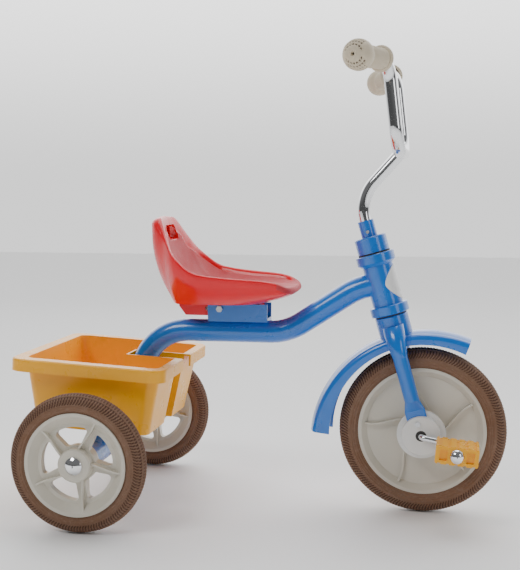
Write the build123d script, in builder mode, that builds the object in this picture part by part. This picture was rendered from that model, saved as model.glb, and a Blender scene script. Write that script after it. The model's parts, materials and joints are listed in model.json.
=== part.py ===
from build123d import *
from math import cos, radians, sin
import os

# Children's tricycle. X points forward, Y to the rider's left, Z up, in millimetres.
# The origin is on the ground, under the middle of the tricycle's length and width.

# ---------------------------------------------------------------- driving dimensions
wheelbase = 474.0
track = 382.0                  # between the middle planes of the rear wheels
front_radius = 125.0           # 10 inch front wheel
rear_radius = 100.0            # 8 inch rear wheels
bin_overhang = 125.1           # from the rear axle back to the end of the bin's rim

running_fit = 0.05             # radial clearance of a shaft that turns in its bush
body_gap = 0.4                 # free space between pieces that move past each other

# frame
frame_tube_radius = 17.5
frame_tube_wall = 2.5
seat_tube_height = 267.5       # centre line of the level run under the seat
axle_tube_radius = 19.0
axle_tube_wall = 2.5
axle_tube_half_length = 163.0
head_angle = 15.7              # steering axis leans back from the vertical
head_low = 181.0               # heights along the steering axis, from the front axle
head_high = 274.0
head_neck_radius = 23.0
head_flange_radius = 29.0
head_flange_height = 14.0
head_bore_radius = 19.0
bush_flange_height = 2.0
badge_thickness = 0.8

# steering
steerer_radius = 12.0
steerer_top = 325.0
crown_radius = 25.0
crown_low = 140.0
cap_radius = 24.0
cap_height = 24.0
leg_radius = 11.0
leg_offset = 38.0              # leg centre line from the middle plane
paddle_width = 30.0
paddle_thickness = 6.0
cover_radius = 36.0
cover_boss_radius = 28.5
cover_outer_y = 48.0

# mudguard
guard_centre = (6.3, -24.4)    # from the front axle
guard_radius = 175.8
guard_edge_centre = (3.1, -9.3)
guard_edge_radius = 140.8
guard_half_width = 26.5
guard_wall = 2.0
guard_front_angle = 68.5
guard_rear_angle = 173.5

# handlebar
stem_radius = 9.0
bar_radius = 9.5
bar_wall = 1.5
stem_corner_height = 359.0     # along the steering axis
bar_low = (-35.7, 414.0)       # from the front axle: the U's cross tube
bar_high = (-50.3, 538.5)      # the top corners of the U
arm_offset = 88.0
grip_sweep = 17.0
grip_ball_radius = 21.0
grip_length = 80.0             # flange to the centre of the ball
ball_offset = 111.0            # along the bar's end, from the top corner to the ball

# front wheel and crank
axle_radius = 4.5
front_rim_radius = 95.0
front_hub_half = 30.0
front_tyre_half = 18.0
crank_radius = 53.0
crank_angle = -11.0
crank_arm_y = 56.0
pedal_length = 60.0
pedal_height = 26.0
pedal_inner_y = 67.0
pedal_outer_y = 121.0

# rear wheels
rod_radius = 5.0
rear_rim_radius = 74.0
rear_hub_half = 20.0
rear_hub_radius = 24.0
rear_tyre_half = 18.0
rear_cap_radius = 12.5

# bin
bin_tilt = 3.3                 # the bin's front end hangs lower; its sizes are along its own walls
bin_top = 231.0
bin_bottom = 128.4
bin_wall = 3.0
bin_length_top = 208.0
bin_length_bottom = 175.0
bin_middle = -10.5             # ahead of the rear axle
bin_width_top = 252.0
bin_width_bottom = 232.0
bin_rim_length = 235.4
bin_rim_middle = -14.1
bin_rim_width = 285.0
bin_rim_height = 18.5
bin_corner = 16.0
slot_clearance = 5.0           # between the frame tube and the walls of the bin's slot
support_y = 72.0
support_length = 84.0
support_width = 34.0
screw_spacing = 56.0
screw_radius = 3.0

# seat
bracket_front = 240.5          # from the rear axle
bracket_back = 148.5
bracket_top = 310.5
bracket_floor = 283.5
bracket_half_width = 19.5
bracket_wall = 2.5
seat_bolt_x = 167.0
seat_bolt_z = 303.0
seat_travel = 20.0
seat_wall = 4.0
rail_low = 292.5

# ---------------------------------------------------------------- places worked out from them
overall_length = bin_overhang + wheelbase + front_radius
rear_x = bin_overhang - overall_length / 2
front_x = rear_x + wheelbase
lean = radians(head_angle)

rear_side = Plane(origin=(rear_x, 0, 0), x_dir=(1, 0, 0), z_dir=(0, -1, 0))
front_side = Plane(origin=(front_x, 0, front_radius), x_dir=(1, 0, 0), z_dir=(0, -1, 0))
head = Plane(origin=front_side.origin, x_dir=(cos(lean), 0, sin(lean)), z_dir=(-sin(lean), 0, cos(lean)))
head_side = Plane(origin=head.origin, x_dir=head.x_dir, z_dir=(0, -1, 0))
head_axis = Axis(head.origin, head.z_dir)
front_axis = Axis(front_side.origin, (0, 1, 0))
rear_centre = Vector(rear_x, 0, rear_radius)
rear_axis = Axis(rear_centre, (0, 1, 0))
front_section = Plane(origin=front_side.origin, x_dir=(0, 0, 1), z_dir=(-1, 0, 0))
rear_section = Plane(origin=rear_centre, x_dir=(0, 0, 1), z_dir=(-1, 0, 0))

pieces = {}
sides = (("right", -1), ("left", 1))


def turned(section, axis, *corners):
    """A solid of revolution from the (radius, height) corners of half its section."""
    with BuildPart() as piece:
        with BuildSketch(section):
            with BuildLine():
                Polyline(*corners, close=True)
            make_face()
        revolve(axis=axis)
    return piece


def ring(section, axis, inner, outer, start, end):
    """A plain washer or sleeve between two heights on an axis."""
    return turned(section, axis, (inner, start), (outer, start), (outer, end), (inner, end))


def both_sides(piece):
    """The piece and its mirror image about the middle plane, as one group."""
    with BuildPart() as pair:
        add(piece.part)
        mirror(piece.part, about=Plane.XZ)
    return pair


def on_left(piece):
    """The mirror image of a right-hand piece."""
    with BuildPart() as image:
        mirror(piece.part, about=Plane.XZ)
    return image


def bent_tube(points, radii, outer, inner=0.0):
    """A round tube along straight runs joined by arcs."""
    with BuildPart() as tube:
        with BuildLine() as path:
            FilletPolyline(*points, radius=radii)
        with BuildSketch(Plane(origin=path.line @ 0, z_dir=path.line % 0)):
            Circle(outer)
            if inner > 0:
                Circle(inner, mode=Mode.SUBTRACT)
        sweep(path=path.line)
    return tube


def cut(piece, tool):
    """Takes a tool's volume out of a piece, so that the two meet face to face."""
    with BuildPart() as rest:
        add(piece.part)
        add(tool.part, mode=Mode.SUBTRACT)
    return rest


# ---------------------------------------------------------------- rear axle tube and main tube
axle_tube_solid = ring(rear_section, rear_axis, 0, axle_tube_radius, -axle_tube_half_length,
                       axle_tube_half_length)
pieces["rear_axle_tube"] = ring(rear_section, rear_axis, axle_tube_radius - axle_tube_wall,
                                axle_tube_radius, -axle_tube_half_length, axle_tube_half_length)

rear_bend = (59.9, seat_tube_height)
rise_foot = (268.3, seat_tube_height)
rise_head = (372.0, 334.8)
head_joint_height = 230.0
head_joint = head.from_local_coords(Vector(0, 0, head_joint_height))
tube_points = [(rear_x, 0, rear_radius)]
tube_points += [(rear_x + x, 0, z) for x, z in (rear_bend, rise_foot, rise_head)]
tube_points += [(head_joint.X, 0, head_joint.Z)]
tube_bends = [77, 90, 100]
neck_solid = ring(head_side, head_axis, 0, head_neck_radius, head_low, head_high)
frame_tube_raw = bent_tube(tube_points, tube_bends, frame_tube_radius,
                           frame_tube_radius - frame_tube_wall)
frame_tube_solid = bent_tube(tube_points, tube_bends, frame_tube_radius)
pieces["main_frame_tube"] = cut(cut(frame_tube_raw, axle_tube_solid), neck_solid)

# ---------------------------------------------------------------- head tube, bushes and badge
flange_taper = 4.0
edge_break = 1.0
low_flange_top = head_low + head_flange_height
high_flange_bottom = head_high - head_flange_height
pieces["head_tube"] = turned(
    head_side, head_axis,
    (head_bore_radius, head_low),
    (head_flange_radius - edge_break, head_low),
    (head_flange_radius, head_low + edge_break),
    (head_flange_radius, low_flange_top - edge_break),
    (head_flange_radius - edge_break, low_flange_top),
    (head_neck_radius, low_flange_top + edge_break),
    (head_neck_radius, high_flange_bottom - flange_taper),
    (head_flange_radius - edge_break, high_flange_bottom),
    (head_flange_radius, high_flange_bottom + edge_break),
    (head_flange_radius, head_high - edge_break),
    (head_flange_radius - edge_break, head_high),
    (head_bore_radius, head_high))

bush_length = 24.0
bush_flange_radius = 24.0
bush_bore = steerer_radius + running_fit
for name, start, direction in (("lower_head_bush", head_low, 1), ("upper_head_bush", head_high, -1)):
    pieces[name] = turned(
        head_side, head_axis,
        (bush_bore, start - direction * bush_flange_height),
        (bush_flange_radius, start - direction * bush_flange_height),
        (bush_flange_radius, start),
        (head_bore_radius, start),
        (head_bore_radius, start + direction * bush_length),
        (bush_bore, start + direction * bush_length))

badge_height = 54.0
badge_width = 2 * head_neck_radius * 0.97
badge_centre = (low_flange_top + edge_break + high_flange_bottom - flange_taper) / 2
badge_shell = ring(head_side, head_axis, head_neck_radius, head_neck_radius + badge_thickness,
                   head_low, head_high)
badge_face = Plane(origin=head.from_local_coords(Vector(0, 0, badge_centre)), x_dir=(0, 1, 0),
                   z_dir=head.x_dir)
with BuildPart() as head_badge:
    with BuildSketch(badge_face):
        Ellipse(badge_width / 2, badge_height / 2)
    extrude(amount=head_flange_radius)
    add(badge_shell.part, mode=Mode.INTERSECT)
pieces["head_badge"] = head_badge

# ---------------------------------------------------------------- rear axle
hub_inner_y = track / 2 - rear_hub_half
hub_outer_y = track / 2 + rear_hub_half
plug_flange = 4.0
plug_length = 26.0
plug_bore_y = axle_tube_half_length - plug_length
plug_outer_y = axle_tube_half_length + plug_flange
rod_end_y = hub_outer_y + body_gap + 3.0
pieces["rear_axle_rod"] = ring(rear_section, rear_axis, 0, rod_radius, -rod_end_y, rod_end_y)
axle_plug = turned(
    rear_section, rear_axis,
    (rod_radius, -plug_bore_y),
    (axle_tube_radius - axle_tube_wall, -plug_bore_y),
    (axle_tube_radius - axle_tube_wall, -axle_tube_half_length),
    (axle_tube_radius, -axle_tube_half_length),
    (axle_tube_radius, -plug_outer_y),
    (rod_radius, -plug_outer_y))
pieces["rear_axle_plugs"] = both_sides(axle_plug)
pieces["rear_axle_washers"] = both_sides(
    ring(rear_section, rear_axis, rod_radius, rod_radius + 6, -plug_outer_y, body_gap - hub_inner_y))
cap_wall = 1.5
cap_inner_y = hub_outer_y + body_gap
cap_dome = 5.0


def push_cap(section, axis, shaft, shaft_end, radius, base, wall, dome):
    """A domed cap pushed over a shaft's end; its dome is part of a ball centred on the axis."""
    outwards = 1 if base > 0 else -1
    edge = base + outwards * wall
    ball = (radius**2 + dome**2) / (2 * dome)
    centre = edge + outwards * (dome - ball)
    middle = (radius / 2, centre + outwards * (ball**2 - radius**2 / 4) ** 0.5)
    with BuildPart() as cap:
        with BuildSketch(section):
            with BuildLine():
                Polyline((0, shaft_end), (shaft, shaft_end), (shaft, base), (radius, base),
                         (radius, edge))
                ThreePointArc((radius, edge), middle, (0, edge + outwards * dome))
                Line((0, edge + outwards * dome), (0, shaft_end))
            make_face()
        revolve(axis=axis)
    return cap


pieces["rear_axle_caps"] = both_sides(
    push_cap(rear_section, rear_axis, rod_radius, -rod_end_y, rear_cap_radius, -cap_inner_y,
             cap_wall, cap_dome))

# ---------------------------------------------------------------- wheels and tyres
rear_web = 6.0
rear_window_outer = 53.0
rear_window_inner = 27.0
rear_dish = 58.0
front_web = 7.0
front_dish = 82.0
front_hub_radius = 20.0
spoke_count = 5
spoke_start = 64.0              # degrees from straight ahead to the rear wheels' first spoke
front_rib_start = 30.0
spoke_width = 13.0
rib_thickness = 2.6
rib_edge = 2.5                 # how far a rib stays below the rim's face
hub_bush_radius = 9.0
tyre_seat_depth = 6.0
window_corner = 5.0


def rim_wheel(section, axis, middle, bore, hub_radius, hub_half, web, dish, rim, rim_half):
    """Hub, web and dished rim of a wheel, with a groove for its tyre."""
    half = [(bore, -hub_half), (hub_radius - 2, -hub_half), (hub_radius, 2 - hub_half),
            (hub_radius, -web), (dish, -web), (rim - 6, 1 - rim_half), (rim - 5, -rim_half),
            (rim, -rim_half), (rim, 3 - rim_half), (rim - tyre_seat_depth, 6 - rim_half)]
    corners = half + [(r, -y) for r, y in reversed(half)]
    return turned(section, axis, *[(r, middle + y) for r, y in corners])


def ribs(origin, middle, inner, outer, twist, rim_half, first_angle):
    """Curved ribs on both faces of a wheel's web, one for each spoke."""
    face = Plane(origin=(origin.X, middle, origin.Z), x_dir=(1, 0, 0), z_dir=(0, -1, 0))
    reach = outer - inner
    path = [(inner, twist), (inner + 0.2 * reach, 0.55 * twist), (inner + 0.45 * reach, 0.2 * twist),
            (outer, 0)]
    with BuildPart() as piece:
        for spoke in range(spoke_count):
            turn = first_angle + 360 / spoke_count * spoke
            points = [(r * cos(radians(turn + a)), r * sin(radians(turn + a))) for r, a in path]
            with BuildSketch(face.offset(-rim_half + rib_edge)):
                with BuildLine():
                    Spline(*points)
                trace(line_width=rib_thickness)
            extrude(amount=2 * (rim_half - rib_edge))
    return piece


def tyre(section, axis, middle, rim, rim_half, radius, half_width):
    """A tyre with bulged sides and a round crown, seated in the rim's groove."""
    groove = rim - tyre_seat_depth
    bead = rim_half - 3
    shoulder = (radius - 7, half_width - 3)
    with BuildPart() as piece:
        with BuildSketch(section):
            with BuildLine():
                Polyline((rim, middle - bead), (groove, middle + 3 - bead), (groove, middle + bead - 3),
                         (rim, middle + bead))
                ThreePointArc((rim, middle + bead), ((rim + shoulder[0]) / 2, middle + half_width),
                              (shoulder[0], middle + shoulder[1]))
                ThreePointArc((shoulder[0], middle + shoulder[1]), (radius, middle),
                              (shoulder[0], middle - shoulder[1]))
                ThreePointArc((shoulder[0], middle - shoulder[1]),
                              ((rim + shoulder[0]) / 2, middle - half_width), (rim, middle - bead))
            make_face()
        revolve(axis=axis)
    return piece


rear_right_y = -track / 2
rear_rim_half = 17.0
rear_disc = rim_wheel(rear_section, rear_axis, rear_right_y, hub_bush_radius, rear_hub_radius,
                      rear_hub_half, rear_web, rear_dish, rear_rim_radius, rear_rim_half)
rear_ribs = ribs(rear_centre, rear_right_y, rear_hub_radius - 1, rear_rim_radius - 7, 14,
                 rear_rim_half, spoke_start)
with BuildPart() as rear_wheel:
    add(rear_disc.part)
    with BuildSketch(Plane(origin=(rear_x, rear_right_y, rear_radius), x_dir=(1, 0, 0),
                           z_dir=(0, -1, 0))):
        Circle(rear_window_outer)
        Circle(rear_window_inner, mode=Mode.SUBTRACT)
        with PolarLocations(0, spoke_count, start_angle=spoke_start):
            Rectangle(rear_rim_radius, spoke_width, align=(Align.MIN, Align.CENTER),
                      mode=Mode.SUBTRACT)
        fillet(vertices(), window_corner)
    extrude(amount=rear_rim_half, both=True, mode=Mode.SUBTRACT)
    add(rear_ribs.part)
pieces["rear_wheel_right"] = rear_wheel
pieces["rear_tyre_right"] = tyre(rear_section, rear_axis, rear_right_y, rear_rim_radius,
                                 rear_rim_half, rear_radius, rear_tyre_half)
pieces["rear_hub_bush_right"] = ring(rear_section, rear_axis, rod_radius + running_fit,
                                     hub_bush_radius, -hub_outer_y, -hub_inner_y)
for name in ("rear_wheel", "rear_tyre", "rear_hub_bush"):
    pieces[f"{name}_left"] = on_left(pieces[f"{name}_right"])

front_rim_half = 16.0
front_disc = rim_wheel(front_section, front_axis, 0, axle_radius, front_hub_radius, front_hub_half,
                       front_web, front_dish, front_rim_radius, front_rim_half)
front_ribs = ribs(front_side.origin, 0, front_hub_radius + 13, front_dish + 3, -26,
                  front_rim_half, front_rib_start)
with BuildPart() as front_wheel:
    add(front_disc.part)
    add(front_ribs.part)
pieces["front_wheel"] = front_wheel
pieces["front_tyre"] = tyre(front_section, front_axis, 0, front_rim_radius, front_rim_half,
                            front_radius, front_tyre_half)

# ---------------------------------------------------------------- crank axle and pedals
cover_inner_y = front_hub_half + 1.6
pedal_cap_radius = 10.0
pedal_cap_dome = 6.0
washer_thickness = 2.0
spindle_end_y = pedal_outer_y + body_gap + 3.0
crank_bend = 8.0
crank_right = Vector(crank_radius * cos(radians(crank_angle)), 0, crank_radius * sin(radians(crank_angle)))
axle_centre = front_side.origin
crank_points = [axle_centre + crank_right + Vector(0, -spindle_end_y, 0),
                axle_centre + crank_right + Vector(0, -crank_arm_y, 0),
                axle_centre + Vector(0, -crank_arm_y, 0),
                axle_centre + Vector(0, crank_arm_y, 0),
                axle_centre - crank_right + Vector(0, crank_arm_y, 0),
                axle_centre - crank_right + Vector(0, spindle_end_y, 0)]
pieces["crank_axle"] = bent_tube(crank_points, crank_bend, axle_radius)
pieces["front_hub_washers"] = both_sides(
    ring(front_section, front_axis, axle_radius, axle_radius + 6, -cover_inner_y + body_gap,
         -front_hub_half))


def pedal_frame(side):
    """Section plane and axis of one pedal's spindle; its heights run outwards from the bike."""
    centre = axle_centre - side * crank_right
    section = Plane(origin=centre, x_dir=(0, 0, 1), z_dir=(-side, 0, 0))
    return centre, section, Axis(centre, (0, 1, 0))


pedal_grip_count = 5
pedal_grip_depth = 1.5
pedal_tilt = 5.5               # front edge down
washer_rings = []
cap_domes = []
for name, side in sides:
    spindle, spindle_section, spindle_axis = pedal_frame(side)
    outer = Plane(origin=spindle, x_dir=(1, 0, 0), z_dir=(0, side, 0))
    with BuildPart() as pedal:
        with BuildSketch(outer.offset(pedal_inner_y)):
            RectangleRounded(pedal_length, pedal_height, 3)
        extrude(amount=pedal_outer_y - pedal_inner_y)
        with BuildSketch(outer.offset(pedal_inner_y)):
            with GridLocations(pedal_length / pedal_grip_count, pedal_height, pedal_grip_count, 2):
                Rectangle(pedal_length / pedal_grip_count * 0.35, 2 * pedal_grip_depth)
        extrude(amount=pedal_outer_y - pedal_inner_y, mode=Mode.SUBTRACT)
        with BuildSketch(outer.offset(pedal_outer_y)):
            with GridLocations(pedal_length * 0.62, 0, 2, 1):
                RectangleRounded(pedal_length * 0.18, pedal_height * 0.6, 1.5)
        extrude(amount=-4, mode=Mode.SUBTRACT)
        with BuildSketch(outer.offset(pedal_inner_y)):
            Circle(axle_radius + running_fit)
        extrude(amount=pedal_outer_y - pedal_inner_y, mode=Mode.SUBTRACT)
    with BuildPart() as hanging_pedal:
        add(pedal.part.rotate(spindle_axis, pedal_tilt))
    pieces[f"pedal_{name}"] = hanging_pedal
    washer_rings.append(ring(spindle_section, spindle_axis, axle_radius, axle_radius + 4,
                             pedal_inner_y - body_gap - washer_thickness, pedal_inner_y - body_gap))
    cap_domes.append(push_cap(spindle_section, spindle_axis, axle_radius, spindle_end_y,
                              pedal_cap_radius, pedal_outer_y + body_gap, cap_wall,
                              pedal_cap_dome))

for label, group in (("pedal_washers", washer_rings), ("pedal_caps", cap_domes)):
    with BuildPart() as pair:
        add(group[0].part)
        add(group[1].part)
    pieces[label] = pair

# ---------------------------------------------------------------- hub covers and their bushes
paddle_low = 9.0               # along the steering axis, from the front axle
paddle_top = 37.0
leg_flare = 52.0
cover_bush_radius = 8.0
cover_screw_height = 18.0
cover_screw_radius = 2.0
cover_screw_head = 4.2
paddle_inner_y = leg_offset - paddle_thickness / 2
right_cover = head_side.offset(cover_inner_y)
with BuildPart() as hub_cover:
    with BuildSketch(right_cover):
        Circle(cover_radius)
    extrude(amount=paddle_inner_y - cover_inner_y)
    with BuildSketch(head_side.offset(paddle_inner_y)):
        Circle(cover_boss_radius)
    extrude(amount=cover_outer_y - paddle_inner_y)
    fillet(edges().sort_by(Axis.Y)[0], 2)
    with BuildSketch(head.offset(paddle_low)):
        with Locations((0, -leg_offset)):
            Ellipse(paddle_width / 2, paddle_thickness / 2)
    extrude(amount=cover_radius, mode=Mode.SUBTRACT)
    with BuildSketch(right_cover):
        Circle(cover_bush_radius)
        with Locations((0, cover_screw_height)):
            Circle(cover_screw_radius)
    extrude(amount=cover_outer_y - cover_inner_y, mode=Mode.SUBTRACT)
pieces["hub_cover_right"] = hub_cover
pieces["front_axle_bush_right"] = ring(front_section, front_axis, axle_radius + running_fit,
                                       cover_bush_radius, -cover_outer_y, -cover_inner_y)
with BuildPart() as cover_screw:
    with BuildSketch(right_cover):
        with Locations((0, cover_screw_height)):
            Circle(cover_screw_radius)
    extrude(amount=cover_outer_y - cover_inner_y)
    with BuildSketch(head_side.offset(cover_outer_y)):
        with Locations((0, cover_screw_height)):
            Circle(cover_screw_head)
    extrude(amount=2)
pieces["hub_cover_screws"] = both_sides(cover_screw)

# ---------------------------------------------------------------- mudguard
guard_axis_origin = (front_x + guard_centre[0], 0, front_radius + guard_centre[1])
guard_axis = Axis(guard_axis_origin, (0, 1, 0))
guard_depth = 42.0
guard_crown = 4.0              # how much the middle of the crown stands above its edges
guard_corner = 8.0
guard_section = Plane(origin=guard_axis_origin, z_dir=(0, -1, 0),
                      x_dir=(cos(radians(guard_front_angle)), 0, sin(radians(guard_front_angle))))
guard_profile = Plane(origin=guard_axis_origin, x_dir=guard_section.x_dir,
                      z_dir=-guard_section.y_dir)


def guard_outline(inset):
    """Outline of the mudguard's section, set in by a wall, open end towards the wheel."""
    half = guard_half_width - inset
    eave = guard_radius - guard_crown - inset
    corner = guard_corner - inset
    foot = guard_radius - guard_depth - inset
    with BuildLine() as outline:
        Polyline((eave - corner, half), (foot, half), (foot, -half), (eave - corner, -half))
        ThreePointArc((eave - corner, -half), (eave - corner * 0.3, -half + corner * 0.3),
                      (eave, -half + corner))
        ThreePointArc((eave, -half + corner), (guard_radius - inset, 0), (eave, half - corner))
        ThreePointArc((eave, half - corner), (eave - corner * 0.3, half - corner * 0.3),
                      (eave - corner, half))
    return outline


guard_sweep = guard_rear_angle - guard_front_angle
guard_solids = []
for inset in (0.0, guard_wall):
    with BuildPart() as guard_solid:
        with BuildSketch(guard_profile):
            add(guard_outline(inset).line)
            make_face()
        revolve(axis=guard_axis, revolution_arc=-guard_sweep)
    guard_solids.append(guard_solid)
guard_envelope, guard_inside = guard_solids
with BuildPart() as mudguard:
    add(guard_envelope.part)
    add(guard_inside.part, mode=Mode.SUBTRACT)
    with BuildSketch(Plane(origin=(front_x + guard_edge_centre[0], 0,
                                   front_radius + guard_edge_centre[1]),
                           x_dir=(1, 0, 0), z_dir=(0, -1, 0))):
        Circle(guard_edge_radius)
    extrude(amount=guard_half_width + 1, both=True, mode=Mode.SUBTRACT)
pieces["mudguard"] = mudguard

# ---------------------------------------------------------------- fork
steerer_bore = stem_radius
stem_screw_height = 308.0
stem_screw_radius = 2.5
stem_screw_head = 14.5
steerer_low = head_low - bush_flange_height - body_gap - 20
with BuildPart() as steerer_tube:
    with BuildSketch(head.offset(steerer_low)):
        Circle(steerer_radius)
        Circle(steerer_bore, mode=Mode.SUBTRACT)
    extrude(amount=steerer_top - steerer_low)
    with BuildSketch(head_side):
        with Locations((0, stem_screw_height)):
            Circle(stem_screw_radius)
    extrude(amount=steerer_radius + 1, mode=Mode.SUBTRACT)
pieces["steerer_tube"] = steerer_tube

crown_top = head_low - bush_flange_height - body_gap
with BuildPart() as fork_crown:
    with BuildSketch(head.offset(crown_low)):
        Circle(crown_radius)
    extrude(amount=crown_top - crown_low)
    fillet(edges().filter_by(GeomType.CIRCLE).sort_by(Axis.Z)[-1], 1.5)
    with BuildSketch(head.offset(steerer_low)):
        Circle(steerer_radius)
    extrude(amount=crown_top - steerer_low, mode=Mode.SUBTRACT)
    add(guard_envelope.part, mode=Mode.SUBTRACT)
pieces["fork_crown"] = fork_crown

leg_weld = 118.0
leg_shoulder = 146.0
leg_top = 164.0
with BuildPart() as crown_solid:
    with BuildSketch(head.offset(crown_low - 20)):
        Circle(crown_radius)
    extrude(amount=crown_top - crown_low + 20)
with BuildPart() as fork_leg:
    with BuildSketch(head.offset(leg_weld)):
        with Locations((0, -leg_offset)):
            Circle(leg_radius)
    with BuildSketch(head.offset(leg_shoulder)):
        with Locations((0, -leg_offset + 8)):
            Circle(leg_radius + 4)
    with BuildSketch(head.offset(leg_top)):
        with Locations((0, -crown_radius + 8)):
            Circle(leg_radius + 5)
    loft()
    with BuildSketch(head.offset(leg_flare)):
        with Locations((0, -leg_offset)):
            Circle(leg_radius)
    extrude(amount=leg_weld - leg_flare)
    with BuildSketch(head.offset(leg_flare)):
        with Locations((0, -leg_offset)):
            Circle(leg_radius)
    with BuildSketch(head.offset(paddle_top)):
        with Locations((0, -leg_offset)):
            Ellipse(paddle_width / 2, paddle_thickness / 2)
    loft()
    with BuildSketch(head.offset(paddle_low)):
        with Locations((0, -leg_offset)):
            Ellipse(paddle_width / 2, paddle_thickness / 2)
    extrude(amount=paddle_top - paddle_low)
    with BuildSketch(head_side.offset(paddle_inner_y)):
        with Locations((0, cover_screw_height)):
            Circle(cover_screw_radius)
    extrude(amount=paddle_thickness, mode=Mode.SUBTRACT)
    add(crown_solid.part, mode=Mode.SUBTRACT)
    add(guard_envelope.part, mode=Mode.SUBTRACT)
pieces["fork_leg_right"] = fork_leg

for name in ("hub_cover", "front_axle_bush", "fork_leg"):
    pieces[f"{name}_left"] = on_left(pieces[f"{name}_right"])

cap_low = head_high + bush_flange_height + body_gap
pieces["steering_cap"] = turned(
    head_side, head_axis,
    (steerer_radius, cap_low), (cap_radius, cap_low), (cap_radius, cap_low + cap_height - 1.5),
    (cap_radius - 1.5, cap_low + cap_height), (steerer_radius, cap_low + cap_height))
with BuildPart() as stem_screw:
    with BuildSketch(head_side.offset(stem_radius)):
        with Locations((0, stem_screw_height)):
            Circle(stem_screw_radius)
    extrude(amount=stem_screw_head - stem_radius)
pieces["stem_screw"] = stem_screw

# ---------------------------------------------------------------- handlebar
stem_low = 240.0
stem_bend = 60.0
stem_foot = head.from_local_coords(Vector(0, 0, stem_low))
stem_corner = head.from_local_coords(Vector(0, 0, stem_corner_height))
bar_foot = axle_centre + Vector(bar_low[0], 0, bar_low[1])
bar_corner = axle_centre + Vector(bar_high[0], -arm_offset, bar_high[1])
sweep_angle = radians(grip_sweep)
droop = 4.5                    # how far the ball sits below the top corner
grip_direction = Vector(-sin(sweep_angle) * ball_offset, -cos(sweep_angle) * ball_offset, -droop)
ball_centre = bar_corner + grip_direction
grip_direction = grip_direction.normalized()
bar_end = ball_centre - grip_direction * 6
bar_points = [bar_end, bar_corner, bar_foot + Vector(0, -arm_offset, 0)]
bar_points += [Vector(p.X, -p.Y, p.Z) for p in reversed(bar_points)]
bar_bends = [30, 34, 34, 30]
bar_raw = bent_tube(bar_points, bar_bends, bar_radius)
pieces["handlebar_bar"] = bent_tube(bar_points, bar_bends, bar_radius, bar_radius - bar_wall)
stem_points = [stem_foot, stem_corner, bar_foot]
pieces["handlebar_stem"] = cut(bent_tube(stem_points, stem_bend, stem_radius, stem_radius - bar_wall),
                               bar_raw)

grip_plane = Plane(origin=ball_centre, x_dir=grip_direction,
                   z_dir=grip_direction.cross(Vector(0, 0, 1)))
grip_axis = Axis(ball_centre, grip_direction)
grip_flange = 18.0
grip_waist = 14.0
ball_start = (-grip_ball_radius * cos(radians(35)), grip_ball_radius * sin(radians(35)))
with BuildPart() as grip:
    with BuildSketch(grip_plane):
        with BuildLine():
            Polyline((-6, 0), (-6, bar_radius), (-grip_length - 3, bar_radius),
                     (-grip_length - 3, grip_flange), (1.5 - grip_length, grip_flange),
                     (4 - grip_length, grip_waist + 1))
            ThreePointArc((4 - grip_length, grip_waist + 1), (-grip_length / 2, grip_waist + 1.5),
                          ball_start)
            ThreePointArc(ball_start, (0, grip_ball_radius), (grip_ball_radius, 0))
            Line((grip_ball_radius, 0), (-6, 0))
        make_face()
    revolve(axis=grip_axis)
pieces["grip_right"] = grip
pieces["grip_left"] = on_left(grip)

# ---------------------------------------------------------------- seat bracket and seat bolt
bracket_length = bracket_front - bracket_back
bracket_end = Plane(origin=(rear_x + bracket_back, 0, 0), x_dir=(0, 1, 0), z_dir=(1, 0, 0))
bracket_height = bracket_top - bracket_floor
floor_top = bracket_floor + bracket_wall + 3
bracket_inner = bracket_half_width - bracket_wall
seat_bolt_radius = 3.0
with BuildPart() as seat_bracket:
    with BuildSketch(bracket_end):
        with Locations((0, bracket_floor)):
            Rectangle(2 * bracket_half_width, bracket_height, align=(Align.CENTER, Align.MIN))
        with Locations((0, floor_top)):
            Rectangle(2 * bracket_inner, bracket_height, align=(Align.CENTER, Align.MIN),
                      mode=Mode.SUBTRACT)
    extrude(amount=bracket_length)
    with BuildSketch(rear_side):
        with Locations((seat_bolt_x, seat_bolt_z)):
            Circle(seat_bolt_radius)
    extrude(amount=bracket_half_width + 1, both=True, mode=Mode.SUBTRACT)
    add(frame_tube_solid.part, mode=Mode.SUBTRACT)
pieces["seat_bracket"] = seat_bracket

bolt_head_radius = 5.2
bolt_head_height = 4.0
nut_height = 5.0
bolt_end = bracket_half_width + nut_height + 2
with BuildPart() as seat_bolt:
    with BuildSketch(rear_side.offset(-bolt_end)):
        with Locations((seat_bolt_x, seat_bolt_z)):
            Circle(seat_bolt_radius)
    extrude(amount=bolt_end + bracket_half_width)
    with BuildSketch(rear_side.offset(bracket_half_width)):
        with Locations((seat_bolt_x, seat_bolt_z)):
            RegularPolygon(bolt_head_radius, 6)
    extrude(amount=bolt_head_height)
pieces["seat_bolt"] = seat_bolt
with BuildPart() as seat_nut:
    with BuildSketch(rear_side.offset(-bracket_half_width - nut_height)):
        with Locations((seat_bolt_x, seat_bolt_z)):
            RegularPolygon(bolt_head_radius, 6)
            Circle(seat_bolt_radius, mode=Mode.SUBTRACT)
    extrude(amount=nut_height)
pieces["seat_bolt_nut"] = seat_nut

# ---------------------------------------------------------------- seat
skin = seat_wall
rise_curve = [(283, 339), (272, 346), (245, 350), (205, 352.5), (165, 359), (140, 370), (120, 387),
              (105, 407), (92, 428), (80, 442)]
surface_curve = [(300, 332), (270, 337), (235, 338), (200, 335), (165, 335), (138, 343),
                 (116, 360), (100, 385), (92, 408), (86, 460)]
back_curve = [(94, 313), (82, 334), (69, 362), (62, 392), (59.5, 420), (61, 434)]
nose_curve = [(283, 339), (268, 327), (245, 317), (233, 313)]
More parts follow.
